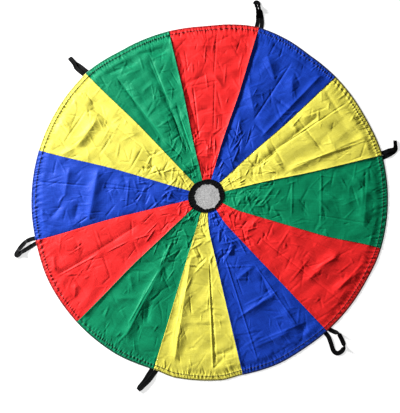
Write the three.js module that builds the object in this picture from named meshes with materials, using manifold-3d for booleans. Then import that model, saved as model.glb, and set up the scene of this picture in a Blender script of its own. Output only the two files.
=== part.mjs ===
// Play parachute laid flat on the floor: twelve sewn gores, a bound vent with its net, six webbing handles.
// Millimetres, +Z up. The origin is on the floor under the middle of the vent.
// The X axis runs along the two seams on which the canopy folds in half.
import * as THREE from 'three';
import { mergeVertices } from 'three/addons/utils/BufferGeometryUtils.js';
import Module from 'manifold-3d';

// Driving dimensions of the canopy
const CANOPY_DIAMETER = 1830;
const HANDLE_COUNT = 6;
const GORE_COUNT = 2 * HANDLE_COUNT;
const CLOTH = 1.0;
const HEM_WIDTH = 25;
const SEAM_ALLOWANCE = 10;
const FOLD_RISE = 11;
const VALLEY_RISE = 5;
const TWIN_FOLD_DIP = 0.45;
const FULL_RISE_RADIUS = 430;
const STORAGE_FOLDS = 5;
const GORE_FACETS = 6;

// How many folds run down each gore, going round from the first: one in its middle, or twin folds
const FOLDS_DOWN = [1, 2, 2, 1, 2, 1, 1, 1, 1, 2, 2, 1];

// Driving dimensions of the vent
const VENT_DIAMETER = 128;
const RING_WIDTH = 25;
const RING_TAPE = 1.0;
const RING_STITCH_WIDTH = 2;
const RING_FACETS = 24;
const NET_PITCH = 13;
const NET_STRAND = 1.6;

// Driving dimensions of the handles
const WEBBING_WIDTH = 20;
const WEBBING = 1.0;
const HANDLE_REACH = 130;
const HANDLE_BASE_SLIT = 8;
const TAIL_LENGTH = 20;

// Clearance between pieces that touch, width of a sharp step, and how deep a folded layer beds
const GAP = 0.3;
const STEP = 0.5;
const BED = 0.1;

// How each handle lies, going round from the first seam that carries one: lean from straight out in
// degrees, how far its limp tip is drawn back from full reach, and the gap inside the loop at its tip
const HANDLE_LIES = [
  { lean: 33, drawn: 26, spread: 10 },
  { lean: 22, drawn: 0, spread: 10 },
  { lean: 4, drawn: 16, spread: 10 },
  { lean: 19, drawn: 10, spread: 14 },
  { lean: -22, drawn: 0, spread: 10 },
  { lean: -10, drawn: 6, spread: 40 },
];

// Sizes worked out from those above
const RIM = CANOPY_DIAMETER / 2;
const VENT = VENT_DIAMETER / 2;
const RING_OUTER = VENT + RING_WIDTH;
const RING_MIDDLE = VENT + RING_WIDTH / 2;
const CLOTH_BED = Math.max(RING_TAPE, WEBBING) + GAP;
const CLOTH_TOP = CLOTH_BED + CLOTH;
const HALF_GORE = Math.PI / GORE_COUNT;
const TAIL_WIDTH = 2 * WEBBING_WIDTH + HANDLE_BASE_SLIT;

// Cloth colours in the order in which the gores go round
const COLOURS = [
  { name: 'green', hex: 0x1c9a63 },
  { name: 'yellow', hex: 0xe9de4e },
  { name: 'blue', hex: 0x2443c4 },
  { name: 'red', hex: 0xef2b2b },
];
const BLACK = 0x101012;
const LIGHT_GREY = 0xb4b4b6;

const wasm = await Module();
wasm.setup();

// A closed three.js geometry as a solid for joins and cuts
function solid(geometry) {
  const bare = geometry.clone();
  bare.deleteAttribute('normal');
  bare.deleteAttribute('uv');
  const merged = mergeVertices(bare, 1e-3);
  const vertProperties = new Float32Array(merged.attributes.position.array);
  const triVerts = new Uint32Array(merged.index.array);
  return new wasm.Manifold(new wasm.Mesh({ numProp: 3, vertProperties, triVerts }));
}

// A cut or joined solid as a three.js geometry again
function geometryOf(body) {
  const mesh = body.getMesh();
  const geometry = new THREE.BufferGeometry();
  geometry.setAttribute('position', new THREE.BufferAttribute(new Float32Array(mesh.vertProperties), 3));
  geometry.setIndex(new THREE.BufferAttribute(new Uint32Array(mesh.triVerts), 1));
  geometry.computeVertexNormals();
  return geometry;
}

// A flat plate with the given plan outline, from one height to another
function plate(shape, low, high) {
  const options = { depth: high - low, bevelEnabled: false, curveSegments: RING_FACETS };
  return new THREE.ExtrudeGeometry(shape, options).translate(0, 0, low);
}

function box(x0, x1, y0, y1, z0, z1) {
  const geometry = new THREE.BoxGeometry(x1 - x0, y1 - y0, z1 - z0);
  return geometry.translate((x0 + x1) / 2, (y0 + y1) / 2, (z0 + z1) / 2);
}

function named(name, geometry, colour, roughness) {
  const material = new THREE.MeshStandardMaterial({ color: colour, roughness, metalness: 0 });
  const mesh = new THREE.Mesh(geometry, material);
  mesh.name = name;
  return mesh;
}

// A closed sheet over a grid of stations, each with its place in plan, its top and its underside
function sheet(grid) {
  const rows = grid.length;
  const columns = grid[0].length;
  const points = [];
  for (const level of ['top', 'under']) {
    for (const row of grid) {
      for (const station of row) points.push(station.x, station.y, station[level]);
    }
  }
  const faces = [];
  const top = (i, j) => i * columns + j;
  const under = (i, j) => rows * columns + top(i, j);
  const quad = (a, b, c, d) => faces.push(a, b, c, a, c, d);
  for (let i = 0; i + 1 < rows; i += 1) {
    for (let j = 0; j + 1 < columns; j += 1) {
      quad(top(i, j), top(i + 1, j), top(i + 1, j + 1), top(i, j + 1));
      quad(under(i, j), under(i, j + 1), under(i + 1, j + 1), under(i + 1, j));
    }
    const last = columns - 1;
    quad(top(i, 0), under(i, 0), under(i + 1, 0), top(i + 1, 0));
    quad(top(i, last), top(i + 1, last), under(i + 1, last), under(i, last));
  }
  for (let j = 0; j + 1 < columns; j += 1) {
    const last = rows - 1;
    quad(top(0, j), top(0, j + 1), under(0, j + 1), under(0, j));
    quad(top(last, j), under(last, j), under(last, j + 1), top(last, j + 1));
  }
  const geometry = new THREE.BufferGeometry();
  geometry.setAttribute('position', new THREE.Float32BufferAttribute(points, 3));
  geometry.setIndex(faces);
  return geometry;
}

// Height share across a gore: one storage fold down its middle, or twin folds with a dip between them
function crossFold(share, folds) {
  const middle = 1 - Math.abs(share);
  if (folds === 1) return middle;
  return Math.min(1, 2 * middle) - TWIN_FOLD_DIP * Math.max(0, 2 * middle - 1);
}

// Rows of a gore from the vent to the hem: the ring, the storage folds, then the turned-under hem
function goreRows() {
  const seamStart = RING_OUTER + 2 * GAP;
  const hemStart = RIM - HEM_WIDTH;
  const rows = [
    { r: RING_MIDDLE + RING_STITCH_WIDTH, rise: 0 },
    { r: seamStart, rise: 0 },
    { r: seamStart + STEP, rise: 0, seam: true },
  ];
  const spacing = (hemStart - seamStart) / (STORAGE_FOLDS + 1);
  for (let fold = 1; fold <= STORAGE_FOLDS; fold += 1) {
    const r = seamStart + fold * spacing;
    const rise = fold % 2 === 1 ? FOLD_RISE : VALLEY_RISE;
    rows.push({ r, rise: rise * Math.min(1, r / FULL_RISE_RADIUS), seam: true });
  }
  rows.push({ r: hemStart - STEP, rise: 0, seam: true });
  rows.push({ r: hemStart, rise: 0, hem: true });
  rows.push({ r: RIM, rise: 0, hem: true });
  return rows;
}

// Stations across one row: seam edge, seam allowance, then the facets between the two allowances
function goreStations(row, folds) {
  const angleAt = (inset) => HALF_GORE - Math.asin(inset / row.r);
  const field = angleAt(SEAM_ALLOWANCE + STEP);
  const across = [];
  for (let k = 0; k <= GORE_FACETS; k += 1) {
    const share = (2 * k) / GORE_FACETS - 1;
    across.push({ angle: share * field, rise: row.rise * crossFold(share, folds) });
  }
  for (const inset of [SEAM_ALLOWANCE, GAP / 2]) {
    across.unshift({ angle: -angleAt(inset), rise: 0, edge: true });
    across.push({ angle: angleAt(inset), rise: 0, edge: true });
  }
  return across.map((station) => {
    const doubled = row.hem || (row.seam && station.edge);
    return {
      x: row.r * Math.cos(station.angle),
      y: row.r * Math.sin(station.angle),
      top: CLOTH_TOP + station.rise,
      under: doubled ? 0 : CLOTH_BED + station.rise,
    };
  });
}

// One gore about the X axis, with the bed under its hem for the handle's tail on one of its seams
function goreGeometry(folds, handleSide) {
  const cloth = sheet(goreRows().map((row) => goreStations(row, folds)));
  const bedWidth = TAIL_WIDTH / 2 + GAP;
  const bed = box(RIM - TAIL_LENGTH - GAP, RIM + HEM_WIDTH, -bedWidth, bedWidth, -WEBBING, WEBBING + GAP);
  bed.rotateZ(handleSide * HALF_GORE);
  return geometryOf(solid(cloth).subtract(solid(bed)));
}

// Half of a flat ring about the origin, on the +Y side of the fold line
function halfRing(inner, outer) {
  const shape = new THREE.Shape();
  shape.absarc(0, 0, outer, 0, Math.PI, false);
  shape.absarc(0, 0, inner, Math.PI, 0, true);
  shape.closePath();
  return shape;
}

// Everything on the +Y side of the fold line, short of it by half a gap
function foldSide(reach) {
  return solid(box(-reach, reach, GAP / 2, reach, -reach, reach));
}

// Half of the vent ring: two tapes sewn together, open outwards for the gores and inwards for the net
function ringGeometry() {
  const stitch = RING_STITCH_WIDTH / 2;
  const slotLow = CLOTH_BED - GAP;
  const slotHigh = CLOTH_TOP + GAP;
  const tapes = solid(plate(halfRing(VENT, RING_OUTER), slotLow - RING_TAPE, slotHigh + RING_TAPE));
  const goreSlot = plate(halfRing(RING_MIDDLE + stitch, RING_OUTER + RING_WIDTH), slotLow, slotHigh);
  const netSlot = plate(halfRing(VENT / 2, RING_MIDDLE - stitch), slotLow, slotHigh);
  const open = tapes.subtract(solid(goreSlot)).subtract(solid(netSlot));
  return geometryOf(open.intersect(foldSide(2 * RING_OUTER)));
}

// Half of the vent net: crossing strands inside a selvage that is sewn into the ring
function netGeometry() {
  const edge = RING_MIDDLE - RING_STITCH_WIDTH / 2 - 2 * GAP;
  const low = CLOTH_BED;
  const high = CLOTH_TOP;
  const half = NET_STRAND / 2;
  const lines = Math.floor(VENT / NET_PITCH - 0.5);
  const selvage = solid(plate(halfRing(VENT, edge), low, high));
  let strands = solid(box(-edge, edge, 0, NET_STRAND, low, high));
  for (let k = -lines; k <= lines; k += 1) {
    const at = k * NET_PITCH;
    strands = strands.add(solid(box(at - half, at + half, 0, edge, low, high)));
    if (k > 0) strands = strands.add(solid(box(-edge, edge, at - half, at + half, low, high)));
  }
  const round = new THREE.CylinderGeometry(edge - GAP, edge - GAP, CLOTH, 2 * RING_FACETS);
  const inside = round.rotateX(Math.PI / 2).translate(0, 0, (low + high) / 2);
  const net = selvage.add(strands.intersect(solid(inside)));
  return geometryOf(net.intersect(foldSide(2 * edge)));
}

// Where two lines in plan cross, each given by a point and a direction
function crossing(a, along, b, across) {
  const turn = along.cross(across);
  const reach = b.clone().sub(a).cross(across) / turn;
  return a.clone().addScaledVector(along, reach);
}

// Plan of a flat run of webbing from one point to another, each end cut along its own line
function webbingRun(from, fromCut, to, toCut) {
  const along = to.clone().sub(from).normalize();
  const side = new THREE.Vector2(-along.y, along.x).multiplyScalar(WEBBING_WIDTH / 2);
  const left = from.clone().add(side);
  const right = from.clone().sub(side);
  return new THREE.Shape([
    crossing(left, along, from, fromCut),
    crossing(right, along, from, fromCut),
    crossing(right, along, to, toCut),
    crossing(left, along, to, toCut),
  ]);
}

// One handle loop, its base on the hem and +X straight out: two runs and a folded-over tip
function loopGeometry({ lean, drawn, spread }) {
  const turn = THREE.MathUtils.degToRad(lean);
  const out = new THREE.Vector2(Math.cos(turn), Math.sin(turn));
  const side = new THREE.Vector2(-out.y, out.x);
  const hemLine = new THREE.Vector2(0, 1);
  const baseReach = (WEBBING_WIDTH / Math.cos(turn) + HANDLE_BASE_SLIT) / 2;
  const tipReach = (WEBBING_WIDTH + spread) / 2;
  const bases = [-1, 1].map((s) => new THREE.Vector2(GAP, s * baseReach));
  const tips = [-1, 1].map((s) => {
    const tip = out.clone().multiplyScalar(HANDLE_REACH - drawn - WEBBING_WIDTH / 2);
    return tip.addScaledVector(side, s * tipReach);
  });
  const folds = [0, 1].map((k) => {
    const leg = tips[k].clone().sub(bases[k]).normalize();
    const cross = tips[1 - k].clone().sub(tips[k]).normalize();
    return leg.add(cross);
  });
  const legs = [0, 1].map((k) => plate(webbingRun(bases[k], hemLine, tips[k], folds[k]), 0, WEBBING));
  const top = plate(webbingRun(tips[0], folds[0], tips[1], folds[1]), WEBBING - BED, 2 * WEBBING - BED);
  return geometryOf(solid(legs[0]).add(solid(legs[1])).add(solid(top)));
}

// The handle's two sewn ends, side by side under the hem
function tailGeometry() {
  return box(-TAIL_LENGTH, 0, -TAIL_WIDTH / 2, TAIL_WIDTH / 2, 0, WEBBING);
}

const parachute = new THREE.Group();

for (let k = 0; k < GORE_COUNT; k += 1) {
  const colour = COLOURS[k % COLOURS.length];
  const folds = FOLDS_DOWN[k % FOLDS_DOWN.length];
  const handleSide = k % 2 === 0 ? 1 : -1;
  const number = String(k + 1).padStart(2, '0');
  const gore = named(`gore_${number}_${colour.name}`, goreGeometry(folds, handleSide), colour.hex, 0.45);
  gore.rotation.z = (2 * k + 1) * HALF_GORE;
  parachute.add(gore);
}

for (const [half, turn] of [['far', 0], ['near', Math.PI]]) {
  const vent = new THREE.Group();
  vent.rotation.z = turn;
  vent.add(named(`vent_ring_${half}`, ringGeometry(), BLACK, 0.7));
  vent.add(named(`vent_net_${half}`, netGeometry(), LIGHT_GREY, 0.8));
  parachute.add(vent);
}

for (let k = 0; k < HANDLE_COUNT; k += 1) {
  const seam = new THREE.Group();
  seam.rotation.z = (4 * k + 2) * HALF_GORE;
  const handle = new THREE.Group();
  handle.position.x = RIM;
  handle.add(named(`handle_${k + 1}_tail`, tailGeometry(), BLACK, 0.75));
  handle.add(named(`handle_${k + 1}_loop`, loopGeometry(HANDLE_LIES[k % HANDLE_LIES.length]), BLACK, 0.75));
  seam.add(handle);
  parachute.add(seam);
}

export default parachute;
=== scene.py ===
import math
import bmesh
import bpy
import numpy as np
from mathutils import Matrix, Vector


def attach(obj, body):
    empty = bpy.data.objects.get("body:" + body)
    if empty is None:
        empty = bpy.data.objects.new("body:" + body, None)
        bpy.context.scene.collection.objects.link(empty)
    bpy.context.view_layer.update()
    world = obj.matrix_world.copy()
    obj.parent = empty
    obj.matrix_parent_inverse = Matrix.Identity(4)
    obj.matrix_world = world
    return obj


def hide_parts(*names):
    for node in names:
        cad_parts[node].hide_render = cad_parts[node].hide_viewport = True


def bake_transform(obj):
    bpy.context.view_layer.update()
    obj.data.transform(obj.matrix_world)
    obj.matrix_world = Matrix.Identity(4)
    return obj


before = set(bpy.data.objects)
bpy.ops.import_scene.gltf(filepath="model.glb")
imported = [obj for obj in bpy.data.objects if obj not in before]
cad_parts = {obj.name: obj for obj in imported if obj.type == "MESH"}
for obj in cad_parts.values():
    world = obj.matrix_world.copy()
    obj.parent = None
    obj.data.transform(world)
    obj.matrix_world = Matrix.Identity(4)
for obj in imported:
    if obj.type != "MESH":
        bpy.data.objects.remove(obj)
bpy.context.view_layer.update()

# The gores: twelve wedges of thin polyester taffeta cut to one pattern, green, yellow, blue and red
# in turn. They are sewn edge to edge with the seam allowances turned under, and hemmed at the rim.
# The canopy lies loose on the floor, with the creases of its last folding still in the cloth.
rim = 0.915
hem = 0.025
allowance = 0.010
neck = 0.0785
ring_edge = 0.089
seam_gap = 0.00015
cloth = 0.00035
ply = 0.0007
bed = 0.0019
half_gore = math.pi / 12
mm = 0.001


def ease(share):
    share = np.clip(share, 0, 1)
    return share * share * (3 - 2 * share)


def spot(bearing, out):
    return out * math.cos(bearing), out * math.sin(bearing)


# The creases of each gore: from and to in degrees round the canopy and metres from its middle, then
# the rise of the ridge or the depth of the valley and how far its sides reach, in millimetres
storage_creases = [
    # green, on the right
    (26, 0.36, 2, 0.27, 4, 6), (14, 0.3, 3, 0.33, 3, 5), (20, 0.8, 4, 0.81, 8.5, 26),
    (28, 0.7, 20, 0.8, 5, 18), (15, 0.14, 14, 0.75, 4, 30),
    # yellow, upper right
    (46, 0.24, 52, 0.72, -4, 12), (33, 0.42, 37, 0.88, 5.5, 16), (59, 0.58, 50.5, 0.57, 5, 12),
    (50.5, 0.57, 40, 0.64, 4, 12), (59, 0.4, 47, 0.39, 4.5, 12), (47, 0.39, 33, 0.42, 4.5, 12),
    (59.5, 0.82, 46, 0.8, -4.5, 14), (52, 0.67, 44, 0.74, 4.5, 14), (56, 0.62, 53, 0.72, 5.5, 18),
    (53, 0.3, 34, 0.25, -3, 6),
    # blue, upper right
    (88, 0.86, 87, 0.28, -4.5, 10), (63, 0.87, 63.5, 0.4, 5.5, 13), (74, 0.83, 74.5, 0.45, -3, 5),
    (74, 0.45, 60.5, 0.44, -4, 6), (84, 0.81, 74.5, 0.68, 6.5, 22), (71.5, 0.77, 63.5, 0.65, 6.5, 22),
    (86, 0.62, 75, 0.48, 6, 20), (73.5, 0.62, 61, 0.62, -4, 6), (84, 0.87, 64, 0.85, -4, 14),
    (83, 0.45, 77.5, 0.3, 4, 14), (72, 0.43, 66, 0.29, -4, 13), (77, 0.24, 75, 0.4, 3, 5),
    # red, at the top
    (117.5, 0.63, 113.5, 0.32, -6, 16), (117.5, 0.79, 116.5, 0.66, -3.5, 12), (116, 0.8, 93, 0.81, 5, 18),
    (119.5, 0.59, 104, 0.65, -5, 16), (104, 0.65, 97, 0.56, 4.5, 14), (115, 0.44, 102, 0.46, -4.5, 14),
    (102, 0.46, 92, 0.42, -3.5, 12), (112, 0.3, 96, 0.28, 3.5, 6),
    # green, upper left
    (129.5, 0.8, 127, 0.22, -5.5, 14), (124.5, 0.52, 125.5, 0.22, -6, 7),
    (143.5, 0.78, 145.5, 0.33, -5.5, 14), (139, 0.64, 131, 0.66, 3.5, 12),
    (140, 0.44, 127, 0.45, 3.5, 14), (147, 0.84, 133, 0.8, -6, 18), (133, 0.84, 120, 0.8, -6.5, 16),
    (146, 0.8, 136, 0.77, -4, 14),
    # yellow, on the left
    (160.5, 0.7, 176.5, 0.73, 10, 25), (156, 0.81, 160.5, 0.6, -8.5, 23), (176, 0.73, 181, 0.8, 6, 14),
    (168, 0.38, 166, 0.2, 3, 6), (172, 0.62, 178, 0.5, 3.5, 14), (165, 0.27, 176, 0.22, 3.5, 6),
    # blue, on the left
    (181, 0.58, 209, 0.62, 11.5, 25), (189.5, 0.55, 191, 0.32, -3, 5), (181.5, 0.45, 188, 0.42, -5, 16),
    (199, 0.74, 205, 0.83, -6, 16), (198, 0.66, 208, 0.7, -5, 14), (183, 0.73, 198, 0.74, 5.5, 20),
    (190, 0.3, 206, 0.33, -4, 12),
    # red, on the left
    (225, 0.88, 219, 0.36, -4, 14), (219, 0.36, 232, 0.3, -3, 6), (217, 0.84, 224, 0.88, 5, 12),
    (235, 0.86, 230, 0.8, 5, 12),
    # green, lower left
    (255, 0.41, 257, 0.84, 8.5, 23), (249, 0.28, 254.5, 0.42, 6, 6), (255, 0.41, 264, 0.49, -4, 12),
    (241, 0.55, 250, 0.62, 3.5, 12), (258, 0.6, 262, 0.72, -6, 16), (245, 0.7, 254, 0.62, 4, 14),
    # yellow, at the bottom
    (272.5, 0.3, 276, 0.86, 8.5, 18), (289, 0.3, 290, 0.86, -4, 5), (271, 0.27, 280, 0.33, 3.5, 5),
    (272, 0.33, 281, 0.3, 3, 5), (275, 0.66, 298, 0.64, 2.5, 14), (288, 0.81, 299, 0.78, -4, 12),
    # blue, lower right
    (322.5, 0.46, 318.5, 0.62, -5, 12), (320.5, 0.68, 321, 0.82, 6.5, 16),
    (303, 0.63, 324, 0.61, 6.5, 16), (304, 0.46, 323, 0.43, 5.5, 14), (303, 0.8, 319, 0.8, 5, 16),
    (325, 0.8, 318, 0.9, -5, 14), (318, 0.27, 306, 0.34, 4, 6),
    # red, lower right
    (357, 0.3, 333, 0.27, 5, 14), (354, 0.73, 335, 0.66, 8.5, 23), (348, 0.83, 339, 0.8, 6.5, 14),
]

# The sharp lines that the folding has pressed into the cloth, listed in the same way, all of one reach
pressed = 3.6
pressed_lines = [
    (6.5, 0.83, 6.5, 0.56, -3), (29, 0.6, 1, 0.6, 3), (29, 0.45, 1, 0.45, 3), (27, 0.82, 8, 0.8, -3),
    (50, 0.88, 50, 0.45, -3), (35.5, 0.87, 35.5, 0.45, 3), (59.5, 0.62, 35.5, 0.64, -3),
    (59.5, 0.44, 37, 0.43, -3), (49, 0.44, 45.5, 0.29, -3), (103, 0.89, 103, 0.62, -2),
    (102.5, 0.62, 100, 0.33, -2), (115, 0.79, 115, 0.64, -2.5), (113.5, 0.59, 113.5, 0.28, -3.5),
    (118.5, 0.58, 99, 0.61, -3), (111.5, 0.43, 99.5, 0.45, -3), (143.5, 0.8, 143.5, 0.37, -3.5),
    (143.5, 0.37, 137, 0.21, -3), (128.5, 0.79, 128.5, 0.5, -3.5), (128.5, 0.5, 131, 0.27, -3.5),
    (124.5, 0.47, 123.5, 0.27, 4), (128.5, 0.59, 120.5, 0.58, -3), (142.5, 0.44, 130.5, 0.44, 2.5),
    (176.5, 0.6, 159, 0.59, -3), (179, 0.42, 157, 0.42, -3), (159, 0.78, 159, 0.3, -2.5),
    (176.5, 0.8, 160, 0.78, -3), (155.5, 0.86, 159.5, 0.65, -3), (191.5, 0.9, 191.5, 0.6, -3.5),
    (192, 0.55, 192, 0.34, -2.5), (207, 0.42, 182.5, 0.41, 3), (205, 0.37, 183, 0.31, 3),
    (189.5, 0.81, 181.5, 0.81, -3), (209, 0.69, 206, 0.61, -4), (225, 0.89, 225, 0.62, 3.5),
    (226, 0.6, 227, 0.45, 3), (227.5, 0.44, 231.5, 0.34, 3), (239, 0.65, 225.5, 0.61, -4),
    (238.5, 0.46, 228, 0.44, -3), (226.5, 0.44, 212.5, 0.4, -3), (238, 0.8, 226.5, 0.8, -3),
    (224.5, 0.61, 211, 0.61, -2), (255.5, 0.77, 254.5, 0.44, 3.5), (254, 0.44, 250, 0.34, 3),
    (250, 0.34, 241.5, 0.32, 3), (254, 0.45, 242, 0.45, -3), (267.5, 0.53, 256, 0.45, -3),
    (289, 0.89, 289, 0.31, 3.5), (274, 0.69, 274, 0.52, 3), (274, 0.52, 277, 0.41, 3),
    (277, 0.41, 287.5, 0.33, 3), (298, 0.8, 290, 0.8, -3), (296, 0.62, 290, 0.6, -2.5),
    (321.5, 0.81, 322, 0.41, 3.5), (304, 0.87, 303.5, 0.32, 3.5), (326, 0.6, 298.5, 0.65, 3),
    (322, 0.59, 304, 0.59, 3), (323, 0.44, 296, 0.37, 3), (321, 0.28, 298, 0.37, 3),
    (326, 0.81, 304, 0.78, 3), (353, 0.88, 353, 0.45, -3), (338.5, 0.88, 338.5, 0.34, -3.5),
    (346, 0.61, 329, 0.61, 2.5), (356, 0.46, 339, 0.45, 3), (353, 0.74, 340, 0.65, 3.5),
    (354, 0.86, 340, 0.81, 3),
]
lines = []
all_creases = storage_creases + [(*line, pressed) for line in pressed_lines]
for from_way, from_out, to_way, to_out, rise, reach in all_creases:
    ends = spot(math.radians(from_way), from_out) + spot(math.radians(to_way), to_out)
    lines.append((*ends, rise, reach))

# Small creases from being packed away, all over the cloth and in no order, closest round the vent
small_creases = 1300
stronger_by_vent = 1.7
crumpling = np.random.default_rng(11)
for number in range(small_creases):
    at = math.radians(crumpling.uniform(0, 360))
    by_vent = number % 3 == 0
    if by_vent:
        out = crumpling.uniform(0.10, 0.38)
    else:
        out = 0.13 + 0.74 * math.sqrt(crumpling.uniform(0.01, 1))
    heading = at + math.radians(crumpling.choice((0, 90, 45, -45)) + crumpling.normal(0, 20))
    half = crumpling.uniform(0.018, 0.055) if by_vent else crumpling.uniform(0.015, 0.070)
    x, y = spot(at, out)
    dx, dy = spot(heading, half)
    rise = crumpling.uniform(1.0, 2.8) * crumpling.choice((-1, 1)) * (stronger_by_vent if by_vent else 1)
    lines.append((x - dx, y - dy, x + dx, y + dy, rise, crumpling.uniform(2, 5)))

# Short gathers that run out of the ring and in from the hem, where the sewing has drawn up the cloth.
# Every fourth is at the ring, and strays more degrees to the side than those at the hem.
gathers = []
for number in range(340):
    at = math.radians(crumpling.uniform(0, 360))
    if number % 4 == 0:
        start, end, stray = 0.080, 0.105 + crumpling.uniform(0, 0.09), 6
    else:
        start, end, stray = 0.902, 0.875 - 0.05 * crumpling.uniform(0, 1) ** 2, 1
    to = at + math.radians(crumpling.normal(0, stray))
    rise = crumpling.uniform(1.0, 2.6) * crumpling.choice((-1, 1))
    gathers.append((*spot(at, start), *spot(to, end), rise, crumpling.uniform(1.8, 3.4)))

# Soft folds between the creases, each in flat sides: heading, width in metres, rise in millimetres, where
# the first one lies, and the heading and place of the stretch of cloth that it is found in
rise_per_width = 40
soft_share = 0.42
folding = np.random.default_rng(5)
soft_folds = []
for wide in np.linspace(0.075, 0.17, 11):
    heading = folding.uniform(0, math.pi)
    rise = rise_per_width * wide * folding.uniform(0.7, 1.2)
    first = folding.uniform(0, 1)
    stretch_heading = folding.uniform(0, math.pi)
    stretch = folding.uniform(0, 2 * math.pi)
    soft_folds.append((heading, wide, rise, first, stretch_heading, stretch))


def soft_fold(x, y, heading, wide, rise, first, stretch_heading, stretch):
    across = x * math.cos(heading) + y * math.sin(heading)
    along = y * math.cos(heading) - x * math.sin(heading)
    turn = (across / wide + first + 0.18 * np.sin(11 * along + 6 * first)) % 1
    found = x * math.cos(stretch_heading) + y * math.sin(stretch_heading)
    return mm * rise * (np.abs(2 * turn - 1) - 0.5) * ease(0.5 + 0.9 * np.sin(13 * found + stretch))


# How far to each side a crease spreads for each millimetre of its listed reach, how much its top is
# rounded, and the longest stretch over which its ends fade out
crease_spread = 0.0024
crease_round = 0.0010
longest_fade = 0.05


def crease(x, y, from_x, from_y, to_x, to_y, rise, reach):
    """Height that one straight crease adds, with a rounded top and ends that fade out."""
    spread = crease_spread * reach
    if max(from_x, to_x) + spread < x.min() or min(from_x, to_x) - spread > x.max():
        return 0
    if max(from_y, to_y) + spread < y.min() or min(from_y, to_y) - spread > y.max():
        return 0
    length = math.hypot(to_x - from_x, to_y - from_y)
    along = ((x - from_x) * (to_x - from_x) + (y - from_y) * (to_y - from_y)) / length
    off = ((x - from_x) * (to_y - from_y) - (y - from_y) * (to_x - from_x)) / length
    fade = min(0.35 * length, longest_fade)
    ends = ease(along / fade) * ease((length - along) / fade)
    side = np.maximum(1 - np.sqrt(off * off + crease_round ** 2) / spread, 0)
    return mm * rise * ends * side * side


# Where the cloth has been dragged on the floor: the bearing, how many degrees to each side that reaches,
# how far round the cloth went in millimetres, and the distances between which the drag builds up
drags = (
    (330, 60, -27, 0, 0.2),
    (0, 30, 20, 0.6, 0.9),
    (195, 72, 18, 0.45, 0.9),
    (75, 72, -12, 0.25, 0.6),
)

# Where the rim has been pulled out or has drawn in: the bearing, the degrees to each side, and millimetres
rim_pulls = ((60, 30, -10), (90, 20, 10), (120, 30, -18), (240, 30, 8), (285, 15, 13), (335, 25, -8))
pull_from, pull_length = 0.55, 0.36


def near(bearing, at, to_each_side):
    """One round a bearing in degrees, and falling to nothing at so many degrees to each side."""
    away = np.abs((np.degrees(bearing) - at + 180) % 360 - 180)
    return ease(2 * (1 - away / to_each_side))


def on_floor(x, y):
    """Where a point of the sewn pattern has come to lie on the floor."""
    r = np.hypot(x, y)
    bearing = np.arctan2(y, x)
    slip = 0
    for at, to_each_side, far, start, full in drags:
        slip = slip + far * near(bearing, at, to_each_side) * ease((r - start) / (full - start))
    pull = 0
    for at, to_each_side, far in rim_pulls:
        pull = pull + far * near(bearing, at, to_each_side)
    bearing_now = bearing + mm * slip / r
    r_now = r + mm * pull * ease((r - pull_from) / pull_length)
    return r_now * np.cos(bearing_now), r_now * np.sin(bearing_now)


# How far each seam stands up as a ridge above the cloth beside it, in millimetres
seam_crown = (6, 8, 0, 10, 8, 7, 4, 0, 9, 5, 8, 3)
crown_reach = 0.015

# How the cloth lies loose, in metres: its height away from the seams, how soon it reaches that height, the
# height past which a fold leans over instead of standing up, how far it can still rise, and the lowest lie
loose_height, loose_reach = 0.0055, 0.020
lean_from, lean_rise = 0.011, 0.008
lowest = 0.0014
by_ring, by_hem = 0.10, 0.04

# How far the allowances, all turned to one side of the seam, lift the cloth there
turned_height, turned_reach = 0.0018, 0.009
handle_ways = [math.radians(60 * number + 30) for number in range(6)]


def ripple(bearing, count, wander, turns, slant=0):
    """A wave so many times round the canopy, its crests unevenly apart."""
    return np.sin(count * bearing + wander * np.sin(turns * bearing) + slant)


def ring_pleats(r, bearing):
    """The pleats where the ring has drawn up the ends of the gores."""
    pleats = 0.6 * ripple(bearing, 37, 3.1, 3) + 0.4 * ripple(bearing, 59, 2.7, 5)
    height, reach = 0.0009, 0.025
    return height * np.exp(-np.maximum(r - ring_edge, 0) / reach) * (1 + pleats)


def hem_waves(r, bearing):
    """The puckers of the hem, in two slants, and the drag lines that run in from it."""
    uneven = 0.6 + 0.4 * ripple(bearing, 13, 2, 5)
    stitched_at, pucker_reach, drag_reach = rim - hem + 0.004, 0.011, 0.030
    in_hem = np.exp(-np.abs(r - stitched_at) / pucker_reach)
    dragged = (1.2 - uneven) * np.exp(-np.abs(rim - hem - r) / drag_reach)
    one_way = 0.0017 * uneven * in_hem * (1 + ripple(bearing, 389, 7, 17, 120 * r))
    other_way = 0.0014 * in_hem * (1 + ripple(bearing, 283, 5, 23, -150 * r))
    drag_lines = 0.0010 * dragged * (1 + ripple(bearing, 151, 9, 7, 45 * (rim - r)))
    return one_way + other_way + drag_lines


def seam_puckers(r, bearing, off_seam):
    """Small puckers beside a seam, in stretches along it."""
    height, reach = 0.0007, 0.014
    stretches = np.exp(-off_seam / reach) * (0.5 + 0.5 * np.sin(33 * r + 11 * bearing))
    return height * stretches * (1 + np.sin(270 * r + 4 * np.sin(61 * r + 3 * bearing) + 190 * off_seam))


def over_tails(x, y):
    """How far the sewn ends of the handles lift the hem that lies on them."""
    height, tail_in, tail_half = 0.0010, 0.035, 0.040
    lift = 0
    for way in handle_ways:
        along = x * math.cos(way) + y * math.sin(way)
        side = np.abs(y * math.cos(way) - x * math.sin(way))
        lift = lift + height * ease((along - rim + tail_in) / 0.015) * ease((tail_half - side) / 0.016)
    return lift


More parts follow.
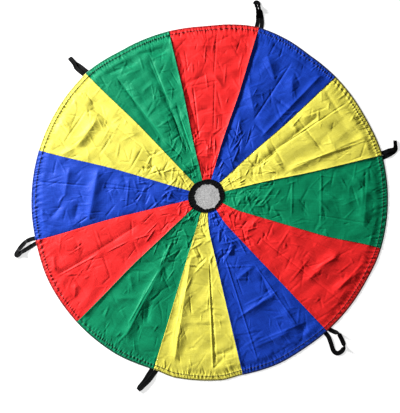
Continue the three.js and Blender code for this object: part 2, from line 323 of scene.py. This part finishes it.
def cloth_lie(x, y):
    """Height of the middle of the cloth above the floor, at a point of the sewn pattern."""
    r = np.hypot(x, y)
    bearing = np.arctan2(y, x)
    swing = (bearing + half_gore) % (2 * half_gore) - half_gore
    off_seam = r * np.sin(np.abs(swing))
    seam_number = np.rint(bearing / (2 * half_gore)).astype(int) % 12
    inside_hem = ease((rim - hem - r) / by_hem)
    beyond_ring = ease((r - ring_edge - 0.003) / by_ring)
    clear_of_tape = ease((r - ring_edge) / 0.012)
    beside_seam = 1 - np.exp(-off_seam / loose_reach)
    loose = beside_seam * beyond_ring * inside_hem
    crown = np.array(seam_crown)[seam_number] * np.exp(-off_seam / crown_reach)
    lie = bed + loose_height * loose + mm * crown * beyond_ring * inside_hem
    floor_x, floor_y = on_floor(x, y)
    creased = 0
    for line in lines:
        creased = creased + crease(floor_x, floor_y, *line)
    for fold in soft_folds:
        creased = creased + soft_share * soft_fold(floor_x, floor_y, *fold)
    held = (0.45 + 0.55 * beside_seam) * clear_of_tape * (0.2 + 0.8 * inside_hem)
    lie = lie + creased * held
    lie = np.where(lie > lean_from, lean_from + lean_rise * np.tanh((lie - lean_from) / lean_rise), lie)
    drawn_up = 0
    for line in gathers:
        drawn_up = drawn_up + crease(x, y, *line)
    lie = lie + drawn_up * ease((r - ring_edge) / 0.006) * ease((rim - 0.010 - r) / 0.010)
    lie = lie + ring_pleats(r, bearing) + hem_waves(r, bearing)
    lie = lie + seam_puckers(r, bearing, off_seam) * beyond_ring
    turned = np.where(swing > 0, turned_height, 0) * np.exp(-off_seam / turned_reach)
    lie = lie + turned * beyond_ring + over_tails(x, y)
    lie = bed + (lie - bed) * clear_of_tape
    return np.maximum(lie, lowest)


def settle(mesh, points):
    mesh.vertices.foreach_set("co", np.ascontiguousarray(points, dtype=np.float32).ravel())
    mesh.update()


def places(mesh):
    points = np.empty(3 * len(mesh.vertices), dtype=np.float32)
    mesh.vertices.foreach_get("co", points)
    return points.reshape(-1, 3).astype(float)


def thread_map(mesh, across, along):
    corners = np.empty(len(mesh.loops), dtype=np.int32)
    mesh.loops.foreach_get("vertex_index", corners)
    chart = mesh.uv_layers.new(name="threads")
    chart.data.foreach_set("uv", np.stack([across[corners], along[corners]], 1).astype(np.float32).ravel())


def mesh_from(bm, name):
    mesh = bpy.data.meshes.new(name)
    bm.to_mesh(mesh)
    bm.free()
    return mesh


def put_in_scene(name, mesh, material):
    piece = bpy.data.objects.new(name, mesh)
    bpy.context.scene.collection.objects.link(piece)
    mesh.materials.append(material)
    mesh.shade_smooth()
    return piece


weave = bpy.data.node_groups.new("plain weave", "ShaderNodeTree")
weave.interface.new_socket("Threads", in_out="INPUT", socket_type="NodeSocketVector")
weave.interface.new_socket("Threads per metre", in_out="INPUT", socket_type="NodeSocketFloat")
weave.interface.new_socket("Slub", in_out="OUTPUT", socket_type="NodeSocketFloat")
weave.interface.new_socket("Height", in_out="OUTPUT", socket_type="NodeSocketFloat")
inside = weave.nodes.new("NodeGroupInput")
outside = weave.nodes.new("NodeGroupOutput")
parts = weave.nodes.new("ShaderNodeSeparateXYZ")
weave.links.new(inside.outputs["Threads"], parts.inputs[0])


def weave_step(operation, first, second):
    """One step of arithmetic in the weave. Each value is a number or comes from another node."""
    step = weave.nodes.new("ShaderNodeMath")
    step.operation = operation
    for place, value in enumerate((first, second)):
        if isinstance(value, (int, float)):
            step.inputs[place].default_value = value
        else:
            weave.links.new(value, step.inputs[place])
    return step.outputs[0]


turns = weave_step("MULTIPLY", inside.outputs["Threads per metre"], 2 * math.pi)
waves = []
for axis in ("X", "Y"):
    phase = weave_step("MULTIPLY", parts.outputs[axis], turns)
    waves.append(weave_step("SINE", phase, 0))
weave.links.new(weave_step("MULTIPLY", *waves), outside.inputs["Height"])
streaks = []
for stretch in ((700, 14, 1), (14, 700, 1)):
    mapping = weave.nodes.new("ShaderNodeMapping")
    mapping.inputs["Scale"].default_value = stretch
    weave.links.new(inside.outputs["Threads"], mapping.inputs["Vector"])
    streak = weave.nodes.new("ShaderNodeTexNoise")
    streak.inputs["Scale"].default_value = 1
    streak.inputs["Detail"].default_value = 2
    weave.links.new(mapping.outputs[0], streak.inputs["Vector"])
    streaks.append(streak.outputs[0])
slub = weave_step("ADD", *streaks)
weave.links.new(weave_step("MULTIPLY", slub, 0.5), outside.inputs["Slub"])


def woven(name, deep, bright, threads, depth, rough, shine):
    """A woven finish: thread colour between a deep and a bright shade, with the weave as relief."""
    material = bpy.data.materials.new(name)
    material.use_nodes = True
    nodes, links = material.node_tree.nodes, material.node_tree.links
    surface = nodes["Principled BSDF"]
    chart = nodes.new("ShaderNodeUVMap")
    chart.uv_map = "threads"
    threads_node = nodes.new("ShaderNodeGroup")
    threads_node.node_tree = weave
    threads_node.inputs["Threads per metre"].default_value = threads
    links.new(chart.outputs[0], threads_node.inputs["Threads"])
    shade = nodes.new("ShaderNodeValToRGB")
    shade.color_ramp.elements[0].position = 0.35
    shade.color_ramp.elements[0].color = (*deep, 1)
    shade.color_ramp.elements[1].position = 0.65
    shade.color_ramp.elements[1].color = (*bright, 1)
    links.new(threads_node.outputs["Slub"], shade.inputs[0])
    links.new(shade.outputs[0], surface.inputs["Base Color"])
    relief = nodes.new("ShaderNodeBump")
    relief.inputs["Strength"].default_value = 0.35
    relief.inputs["Distance"].default_value = depth
    links.new(threads_node.outputs["Height"], relief.inputs["Height"])
    links.new(relief.outputs[0], surface.inputs["Normal"])
    dull = nodes.new("ShaderNodeMapRange")
    dull.inputs["To Min"].default_value = rough - 0.06
    dull.inputs["To Max"].default_value = rough + 0.06
    links.new(threads_node.outputs["Slub"], dull.inputs["Value"])
    links.new(dull.outputs[0], surface.inputs["Roughness"])
    surface.inputs["Specular IOR Level"].default_value = shine
    return material


taffeta_threads, taffeta_depth, taffeta_rough = 1100, 0.0001, 0.58
taffeta_shades = {
    "green": ((0.0012, 0.16, 0.072), (0.0042, 0.255, 0.125), 0.15),
    "yellow": ((0.54, 0.485, 0.06), (0.68, 0.63, 0.125), 0.17),
    "blue": ((0.005, 0.033, 0.29), (0.014, 0.073, 0.46), 0.19),
    "red": ((0.56, 0.014, 0.014), (0.75, 0.036, 0.036), 0.17),
}
taffeta = {}
for colour, (deep, bright, shine) in taffeta_shades.items():
    taffeta[colour] = woven(colour + " taffeta", deep, bright, taffeta_threads, taffeta_depth,
                            taffeta_rough, shine)
across_field, turned_under = 148, 3
down_field, hem_rows = 204, 7
columns, rows = across_field + 2 * turned_under, down_field + hem_rows
finer_at_vent = 1.15
for number in range(12):
    colour = ("green", "yellow", "blue", "red")[number % 4]
    name = f"gore_{number + 1:02d}_{colour}"
    bm = bmesh.new()
    bmesh.ops.create_grid(bm, x_segments=columns, y_segments=rows, size=0.5)
    mesh = mesh_from(bm, name)
    grid = places(mesh) + 0.5
    column = np.rint(grid[:, 0] * columns)
    row = np.rint(grid[:, 1] * rows)
    share = np.clip(2 * (column - turned_under) / across_field - 1, -1, 1)
    spare = np.maximum(turned_under - column, column - columns + turned_under)
    tucked = np.maximum(spare - 1, 0) / (turned_under - 1)
    under_hem = np.maximum(row - down_field - 1, 0) / (hem_rows - 1)
    r = neck + (rim - neck) * np.minimum(row / down_field, 1) ** finer_at_vent - hem * under_hem
    edge = half_gore - np.arcsin((seam_gap + allowance * np.where(spare > 0, tucked, 0)) / r)
    swing = share * edge
    layer = (spare > 0).astype(int) + (row > down_field)
    bearing = swing + half_gore * (2 * number + 1)
    x, y = r * np.cos(bearing), r * np.sin(bearing)
    settle(mesh, np.stack([*on_floor(x, y), cloth_lie(x, y) - ply * layer], 1))
    thread_map(mesh, r * np.sin(swing), r * np.cos(swing))
    gore = put_in_scene(name + "_cloth", mesh, taffeta[colour])
    thickness = gore.modifiers.new("cloth thickness", "SOLIDIFY")
    thickness.thickness = cloth
    thickness.offset = 0
    half = "far_half" if number < 6 else "near_half"
    if number in (0, 5, 6, 11):
        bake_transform(gore)
    else:
        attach(gore, half)
    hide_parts(name)

# The hem thread: black polyester sewing thread in a straight row along the inner edge of the hem, and
# an overlocked row wrapped round the folded rim. Both pass over the handles' ends and hold them. The rows
# are drawn wider than real thread, so their black is partly the stitching and partly painted shade of
# the hem's puckers.
thread = bpy.data.materials.new("black thread")
thread.use_nodes = True
sewing = thread.node_tree.nodes["Principled BSDF"]
twist = thread.node_tree.nodes.new("ShaderNodeTexWave")
twist.inputs["Scale"].default_value = 900
twist.bands_direction = "DIAGONAL"
twisted = thread.node_tree.nodes.new("ShaderNodeTexCoord")
thread.node_tree.links.new(twisted.outputs["Object"], twist.inputs["Vector"])
tones = thread.node_tree.nodes.new("ShaderNodeValToRGB")
tones.color_ramp.elements[0].color = (0.006, 0.006, 0.007, 1)
tones.color_ramp.elements[1].color = (0.022, 0.022, 0.024, 1)
thread.node_tree.links.new(twist.outputs[0], tones.inputs[0])
thread.node_tree.links.new(tones.outputs[0], sewing.inputs["Base Color"])
sewing.inputs["Roughness"].default_value = 0.5


def stitch(bm, long, wide, high, at, turn):
    before = set(bm.verts)
    made = bmesh.ops.create_cube(bm, size=1)["verts"]
    bmesh.ops.scale(bm, vec=(long, wide, high), verts=made)
    edges = list({edge for v in made for edge in v.link_edges})
    bmesh.ops.bevel(bm, geom=edges, offset=0.3 * min(long, high), offset_type="OFFSET", affect="EDGES",
                    segments=1, profile=0.5, material=-1)
    fresh = [v for v in bm.verts if v not in before]
    bmesh.ops.rotate(bm, verts=fresh, matrix=Matrix.Rotation(turn, 3, "Z"))
    bmesh.ops.translate(bm, verts=fresh, vec=at)


def repeat_round(bm, counts):
    spacing = 2 * math.pi / math.prod(counts)
    for count in counts:
        geometry = bm.verts[:] + bm.edges[:] + bm.faces[:]
        bmesh.ops.spin(bm, geom=geometry, cent=(0, 0, 0), axis=(0, 0, 1), dvec=(0, 0, 0),
                       angle=spacing * (count - 1), steps=count - 1, use_duplicate=True)
        spacing = spacing * count


def lay_on_cloth(bm, name):
    mesh = mesh_from(bm, name)
    x, y, above = places(mesh).T
    settle(mesh, np.stack([*on_floor(x, y), cloth_lie(x, y) + above], 1))
    return mesh


stitch_counts = (10, 9, 13)
stitch_pitch = 2 * math.pi * rim / math.prod(stitch_counts)
stitch_long = 0.85 * stitch_pitch
thread_up = 0.0004
bm = bmesh.new()
# This row is wider than the real thread: partly black stitching, partly painted shade of the puckers
stitch(bm, stitch_long, 0.0024, 0.0008, (rim - hem + 0.002, 0, thread_up), math.pi / 2)
repeat_round(bm, stitch_counts)
hem_row = put_in_scene("hem_row", lay_on_cloth(bm, "hem_row"), thread)
bm = bmesh.new()
# These rows are wider than the real thread: partly black stitching, partly painted shade of the puckers
stitch(bm, 0.0062, 0.0017, 0.0007, (rim - 0.0028, 0, thread_up), 0.3)
stitch(bm, stitch_long, 0.0013, 0.0007, (rim - 0.0060, 0, thread_up), math.pi / 2)
stitch(bm, 0.0008, 0.0010, 0.0018, (rim + 0.0004, 0.001, -0.0005), 0)
repeat_round(bm, stitch_counts)
rim_overlock = put_in_scene("rim_overlock", lay_on_cloth(bm, "rim_overlock"), thread)
for row in (hem_row, rim_overlock):
    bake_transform(row)

# The vent ring: black polyester binding tape, one round on top of the gores' ends and one beneath,
# drawn up and sewn through in two rows, so that both edges run in small gathers.
ring_in, ring_out = 0.064, 0.089
tape = 0.0009
black_tape = woven("black tape", (0.0015, 0.0015, 0.002), (0.005, 0.005, 0.006), 700, 0.0003, 0.7, 0.1)
under_cloth, over_cloth = 0.0002, 0.0027
bm = bmesh.new()
for low in (under_cloth, over_cloth):
    section = []
    for share in np.linspace(0, 1, 9):
        section.append(bm.verts.new((ring_in + (ring_out - ring_in) * share, 0, low)))
    for share in np.linspace(1, 0, 9):
        section.append(bm.verts.new((ring_in + (ring_out - ring_in) * share, 0, low + tape)))
    loop = [bm.edges.new((section[k - 1], section[k])) for k in range(len(section))]
    bmesh.ops.spin(bm, geom=section + loop, cent=(0, 0, 0), axis=(0, 0, 1), dvec=(0, 0, 0),
                   angle=2 * math.pi, steps=360, use_merge=True)
bmesh.ops.recalc_face_normals(bm, faces=bm.faces[:])
mesh = mesh_from(bm, "vent_ring")
points = places(mesh)
r = np.hypot(points[:, 0], points[:, 1])
bearing = np.arctan2(points[:, 1], points[:, 0])
share = (r - ring_in) / (ring_out - ring_in)
gathered = ripple(bearing, 41, 2, 4) + 0.6 * ripple(bearing, 67, 2, 3)
scallop = np.sin(9 * bearing + 1.3) + 0.8 * np.sin(17 * bearing + 0.4) + 0.7 * np.sin(29 * bearing + 2)
corners = np.sin(5 * bearing + 0.6) + 0.8 * np.sin(8 * bearing) + 0.4 * np.sin(19 * bearing + 1)
hole_shift, hole_way = 0.007, math.radians(340)
oval, long_way = 0.006, math.radians(40)
inner = 0.0018 * scallop + hole_shift * np.cos(bearing - hole_way)
outer = 0.0008 * corners + oval * np.cos(2 * (bearing - long_way))
drawn = r + inner * (1 - share) + outer * share
upper = points[:, 2] > bed
rise = np.where(upper, 0.0008 * (1.4 + gathered) * (0.35 + (2 * share - 1) ** 2), 0)
rise = np.maximum(rise, 0)
settle(mesh, np.stack([drawn * np.cos(bearing), drawn * np.sin(bearing), points[:, 2] + rise], 1))
thread_map(mesh, r, bearing * (ring_in + ring_out) / 2)
vent_ring = put_in_scene("vent_ring", mesh, black_tape)
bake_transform(vent_ring)
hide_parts("vent_ring_far", "vent_ring_near")

# The vent net: a light grey polyester net that lets the air through the middle of the canopy.
# Its edge is caught between the two tapes of the ring.
net_edge = 0.0745
net_pitch = 0.0022
cells = 2 * round(net_edge / net_pitch)
bm = bmesh.new()
bmesh.ops.create_grid(bm, x_segments=cells, y_segments=cells, size=net_edge)
bmesh.ops.delete(bm, geom=[v for v in bm.verts if v.co.length > net_edge], context="VERTS")
mesh = mesh_from(bm, "vent_net")
points = places(mesh)
r = np.hypot(points[:, 0], points[:, 1])
slack = 1 - (r / net_edge) ** 2
points[:, 2] = bed + 0.0008 * slack * (np.sin(90 * points[:, 0] + 1) + np.sin(75 * points[:, 1]))
settle(mesh, points)
net_material = bpy.data.materials.new("grey net")
net_material.use_nodes = True
yarn = net_material.node_tree.nodes["Principled BSDF"]
fibre = net_material.node_tree.nodes.new("ShaderNodeTexNoise")
fibre.inputs["Scale"].default_value = 110
fibre_at = net_material.node_tree.nodes.new("ShaderNodeTexCoord")
net_material.node_tree.links.new(fibre_at.outputs["Object"], fibre.inputs["Vector"])
fibre_tone = net_material.node_tree.nodes.new("ShaderNodeValToRGB")
fibre_tone.color_ramp.elements[0].position = 0.40
fibre_tone.color_ramp.elements[0].color = (0.006, 0.006, 0.006, 1)
fibre_tone.color_ramp.elements[1].position = 0.62
fibre_tone.color_ramp.elements[1].color = (0.26, 0.25, 0.25, 1)
net_material.node_tree.links.new(fibre.outputs[0], fibre_tone.inputs[0])
net_material.node_tree.links.new(fibre_tone.outputs[0], yarn.inputs["Base Color"])
yarn.inputs["Roughness"].default_value = 0.55
vent_net = put_in_scene("vent_net", mesh, net_material)
strands = vent_net.modifiers.new("strands", "WIREFRAME")
strands.thickness = 0.00078
strands.use_even_offset = False
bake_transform(vent_net)
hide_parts("vent_net_far", "vent_net_near")

# The handles: six loops of flat black polypropylene webbing, one on every second seam. Each is one
# length with both ends sewn flat under the hem. Three lie shut, and those at the top, at the left and
# at the lower right lie open.
web = 0.022
web_thick = 0.0011
tail = 0.020
sewn_apart = 0.0125
turn_over = 0.0011
strap_step = 0.0009
smoothing = 17
black_web = woven("black webbing", (0.0015, 0.0015, 0.002), (0.005, 0.005, 0.006), 420, 0.0005, 0.65, 0.12)


def shut_loop(lean, bend, bend_at, reach, apart, roll):
    """Path of a loop that lies shut: out along one length, over at the tip, and back on top of it."""
    tip = reach + turn_over * math.pi / 2
    strap = np.linspace(-tail, 2 * tip + tail, round(2 * (tip + tail) / strap_step))
    near = tip - np.abs(strap - tip)
    curl = np.maximum(near - reach, 0) / turn_over
    out = np.minimum(near, reach) + turn_over * np.sin(curl)
    lift = turn_over * (1 - np.cos(curl))
    on_top = 2 * turn_over * ease(out / 0.045)
    track = np.linspace(-tail, tip, 400)
    heading = lean + (bend - lean) * ease((track / reach - bend_at) / 0.28 + 0.5)
    heading = np.radians(heading) * ease(track / 0.012)
    run = np.cumsum(np.stack([np.cos(heading), np.sin(heading)]), 1) * (track[1] - track[0])
    run = run - np.stack([np.interp(0, track, run[0]), np.interp(0, track, run[1])])[:, None]
    turned = np.interp(out, track, heading)
    apart_at = (0, 0.06, 0.35, 0.5, 0.65, 0.8, 1)
    apart_now = np.interp(out / reach, apart_at, (sewn_apart / mm, 10.8, *apart))
    side = mm * apart_now * np.clip((strap - tip) / 0.016, -1, 1)
    tilt = np.radians(roll) * ease((out / reach - 0.45) / 0.35)
    across = np.stack([-np.sin(turned) * np.cos(tilt), np.cos(turned) * np.cos(tilt), np.sin(tilt)], 1)
    plan_x = np.interp(out, track, run[0]) - np.sin(turned) * side
    plan_y = np.interp(out, track, run[1]) + np.cos(turned) * side
    height = np.where(strap > tip, on_top - lift, lift) + np.sin(tilt) * web / 2
    return strap, np.stack([plan_x, plan_y, height + web_thick / 2], 1), across


def open_loop(marks, twists, over):
    """Path of a loop that lies open, through marks in plan; each twist stands the webbing on edge."""
    marks = np.array(marks)
    lengths = np.concatenate([[0], np.cumsum(np.hypot(*np.diff(marks, axis=0).T))])
    strap = np.linspace(0, lengths[-1], round(lengths[-1] / strap_step))
    plan = np.stack([np.interp(strap, lengths, marks[:, 0]), np.interp(strap, lengths, marks[:, 1])], 1)
    beyond = smoothing // 2
    evenly = np.full(smoothing, 1 / smoothing)
    for again in range(3):
        padded = np.pad(plan, ((beyond, beyond), (0, 0)), "edge")
        plan = np.stack([np.convolve(padded[:, axis], evenly, "valid") for axis in (0, 1)], 1)
    tangent = np.gradient(plan, axis=0)
    tangent = tangent / np.linalg.norm(tangent, axis=1)[:, None]
    tilt = sum(np.radians(turn) * np.exp(-((strap - lengths[mark]) / 0.010) ** 2) for mark, turn in twists)
    across = np.stack([-tangent[:, 1] * np.cos(tilt), tangent[:, 0] * np.cos(tilt), np.sin(tilt)], 1)
    lifted = over * ease((strap - 0.45 * lengths[-1]) / 0.02) * ease((0.82 * lengths[-1] - strap) / 0.04)
    height = np.abs(np.sin(tilt)) * web / 2 + web_thick / 2 + lifted
    return strap, np.stack([plan[:, 0], plan[:, 1], height], 1), across


loops = [
    shut_loop(10, 80, 0.62, 0.114, (9.5, 6, 2.5, 1, 1), 28),
    open_loop(((-0.020, -0.0125), (0.004, -0.0115), (0.030, -0.007), (0.056, 0.003), (0.080, 0.015),
               (0.095, 0.0245), (0.110, 0.0335), (0.124, 0.039), (0.131, 0.050), (0.124, 0.061),
               (0.110, 0.051), (0.095, 0.040), (0.080, 0.033), (0.064, 0.0265), (0.036, 0.0155),
               (0.006, 0.014), (-0.020, 0.0125)),
              ((5, 55), (6, 50), (10, -48), (11, -48), (12, -45), (13, -40)), 0),
    shut_loop(8, -2, 0.45, 0.124, (11, 9.5, 2.5, 1.5, 2.5), 6),
    open_loop(((-0.020, -0.0125), (0.002, -0.013), (0.023, -0.014), (0.050, -0.008), (0.076, 0.008),
               (0.100, 0.028), (0.114, 0.043), (0.119, 0.052), (0.112, 0.056), (0.104, 0.051),
               (0.084, 0.0425), (0.056, 0.032), (0.029, 0.023), (0.004, 0.0135), (-0.020, 0.0125)),
              ((3, 24), (5, 24), (10, -22)), 0.0026),
    shut_loop(-18, -26, 0.50, 0.128, (10, 8, 6, 5, 4), 8),
    open_loop(((-0.020, -0.0125), (0.004, -0.013), (0.026, -0.015), (0.056, -0.029), (0.089, -0.046),
               (0.106, -0.046), (0.116, -0.036), (0.120, -0.013), (0.110, 0.010), (0.086, 0.021),
               (0.060, 0.029), (0.044, 0.033), (0.034, 0.027), (0.019, 0.019), (0.004, 0.014),
               (-0.020, 0.0125)), ((8, 58), (11, -60)), 0),
]
for number, (strap, middle, across) in enumerate(loops):
    name = f"handle_{number + 1}"
    bm = bmesh.new()
    bmesh.ops.create_grid(bm, x_segments=len(strap) - 1, y_segments=10, size=0.5)
    mesh = mesh_from(bm, name)
    grid = places(mesh)
    station = np.rint((grid[:, 0] + 0.5) * (len(strap) - 1)).astype(int)
    local = middle[station] + grid[:, 1:2] * web * across[station]
    free = ease((local[:, 0] - 0.004) / 0.03)
    cupped = 0.0008 * (2 * grid[:, 1]) ** 2 + 0.0010 * (1 + np.sin(60 * local[:, 0] + number))
    local[:, 2] = local[:, 2] + free * cupped
    way = handle_ways[number]
    sewn_at = Vector((*on_floor(rim * math.cos(way), rim * math.sin(way)), 0))
    x = sewn_at.x + local[:, 0] * math.cos(way) - local[:, 1] * math.sin(way)
    y = sewn_at.y + local[:, 0] * math.sin(way) + local[:, 1] * math.cos(way)
    settle(mesh, np.stack([x, y, local[:, 2]], 1))
    thread_map(mesh, grid[:, 1] * web, strap[station])
    handle = put_in_scene(name + "_strap", mesh, black_web)
    thickness = handle.modifiers.new("webbing thickness", "SOLIDIFY")
    thickness.thickness = web_thick
    thickness.offset = 0
    half = "far_half" if number < 3 else "near_half"
    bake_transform(handle)
    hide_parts(name + "_tail", name + "_loop")

# The floor, the lights and the camera: a plain white studio floor under a pale background, a large low
# light from the left of the picture, a weak one from its lower edge to fill the shadows, and the camera
# almost straight above.
floor_half = 60
bm = bmesh.new()
bmesh.ops.create_grid(bm, x_segments=1, y_segments=1, size=floor_half)
floor_mesh = mesh_from(bm, "floor")
floor_paint = bpy.data.materials.new("white floor")
floor_paint.use_nodes = True
paint = floor_paint.node_tree.nodes["Principled BSDF"]
paint.inputs["Base Color"].default_value = (0.45, 0.45, 0.45, 1)
paint.inputs["Roughness"].default_value = 0.8
paint.inputs["Emission Color"].default_value = (1, 1, 1, 1)
paint.inputs["Emission Strength"].default_value = 0.52
floor = put_in_scene("floor", floor_mesh, floor_paint)

world = bpy.data.worlds.new("studio")
world.use_nodes = True
air = world.node_tree.nodes["Background"]
air.inputs["Color"].default_value = (1, 1, 1, 1)
seen = world.node_tree.nodes.new("ShaderNodeLightPath")
strength = world.node_tree.nodes.new("ShaderNodeMapRange")
strength.inputs["To Min"].default_value = 0.09
strength.inputs["To Max"].default_value = 0.55
world.node_tree.links.new(seen.outputs["Is Camera Ray"], strength.inputs["Value"])
world.node_tree.links.new(strength.outputs[0], air.inputs["Strength"])
bpy.context.scene.world = world
bpy.context.scene.view_settings.view_transform = "Standard"
bpy.context.scene.view_settings.look = "Medium High Contrast"

for lamp_name, bearing, height, away, wide, power in (("key light", 166, 18, 6.5, 1.2, 1265),
                                                      ("fill light", 256, 45, 5.0, 2.0, 52)):
    lamp = bpy.data.objects.new(lamp_name, bpy.data.lights.new(lamp_name, "AREA"))
    lamp.data.shape = "SQUARE"
    lamp.data.size = wide
    lamp.data.energy = power
    way, height = math.radians(bearing), math.radians(height)
    level = away * math.cos(height)
    lamp.location = (level * math.cos(way), level * math.sin(way), away * math.sin(height))
    lamp.rotation_euler = Vector(lamp.location).to_track_quat("Z", "Y").to_euler()
    bpy.context.scene.collection.objects.link(lamp)

camera = bpy.data.objects.new("camera", bpy.data.cameras.new("camera"))
camera.data.sensor_fit = "HORIZONTAL"
camera.data.sensor_width = 36
camera.data.lens = 56.13
camera.location = (0.2779, -0.2769, 3.1765)
camera.rotation_euler = (math.radians(5.222), math.radians(3.924), math.radians(16.768))
bpy.context.scene.collection.objects.link(camera)
bpy.context.scene.camera = camera
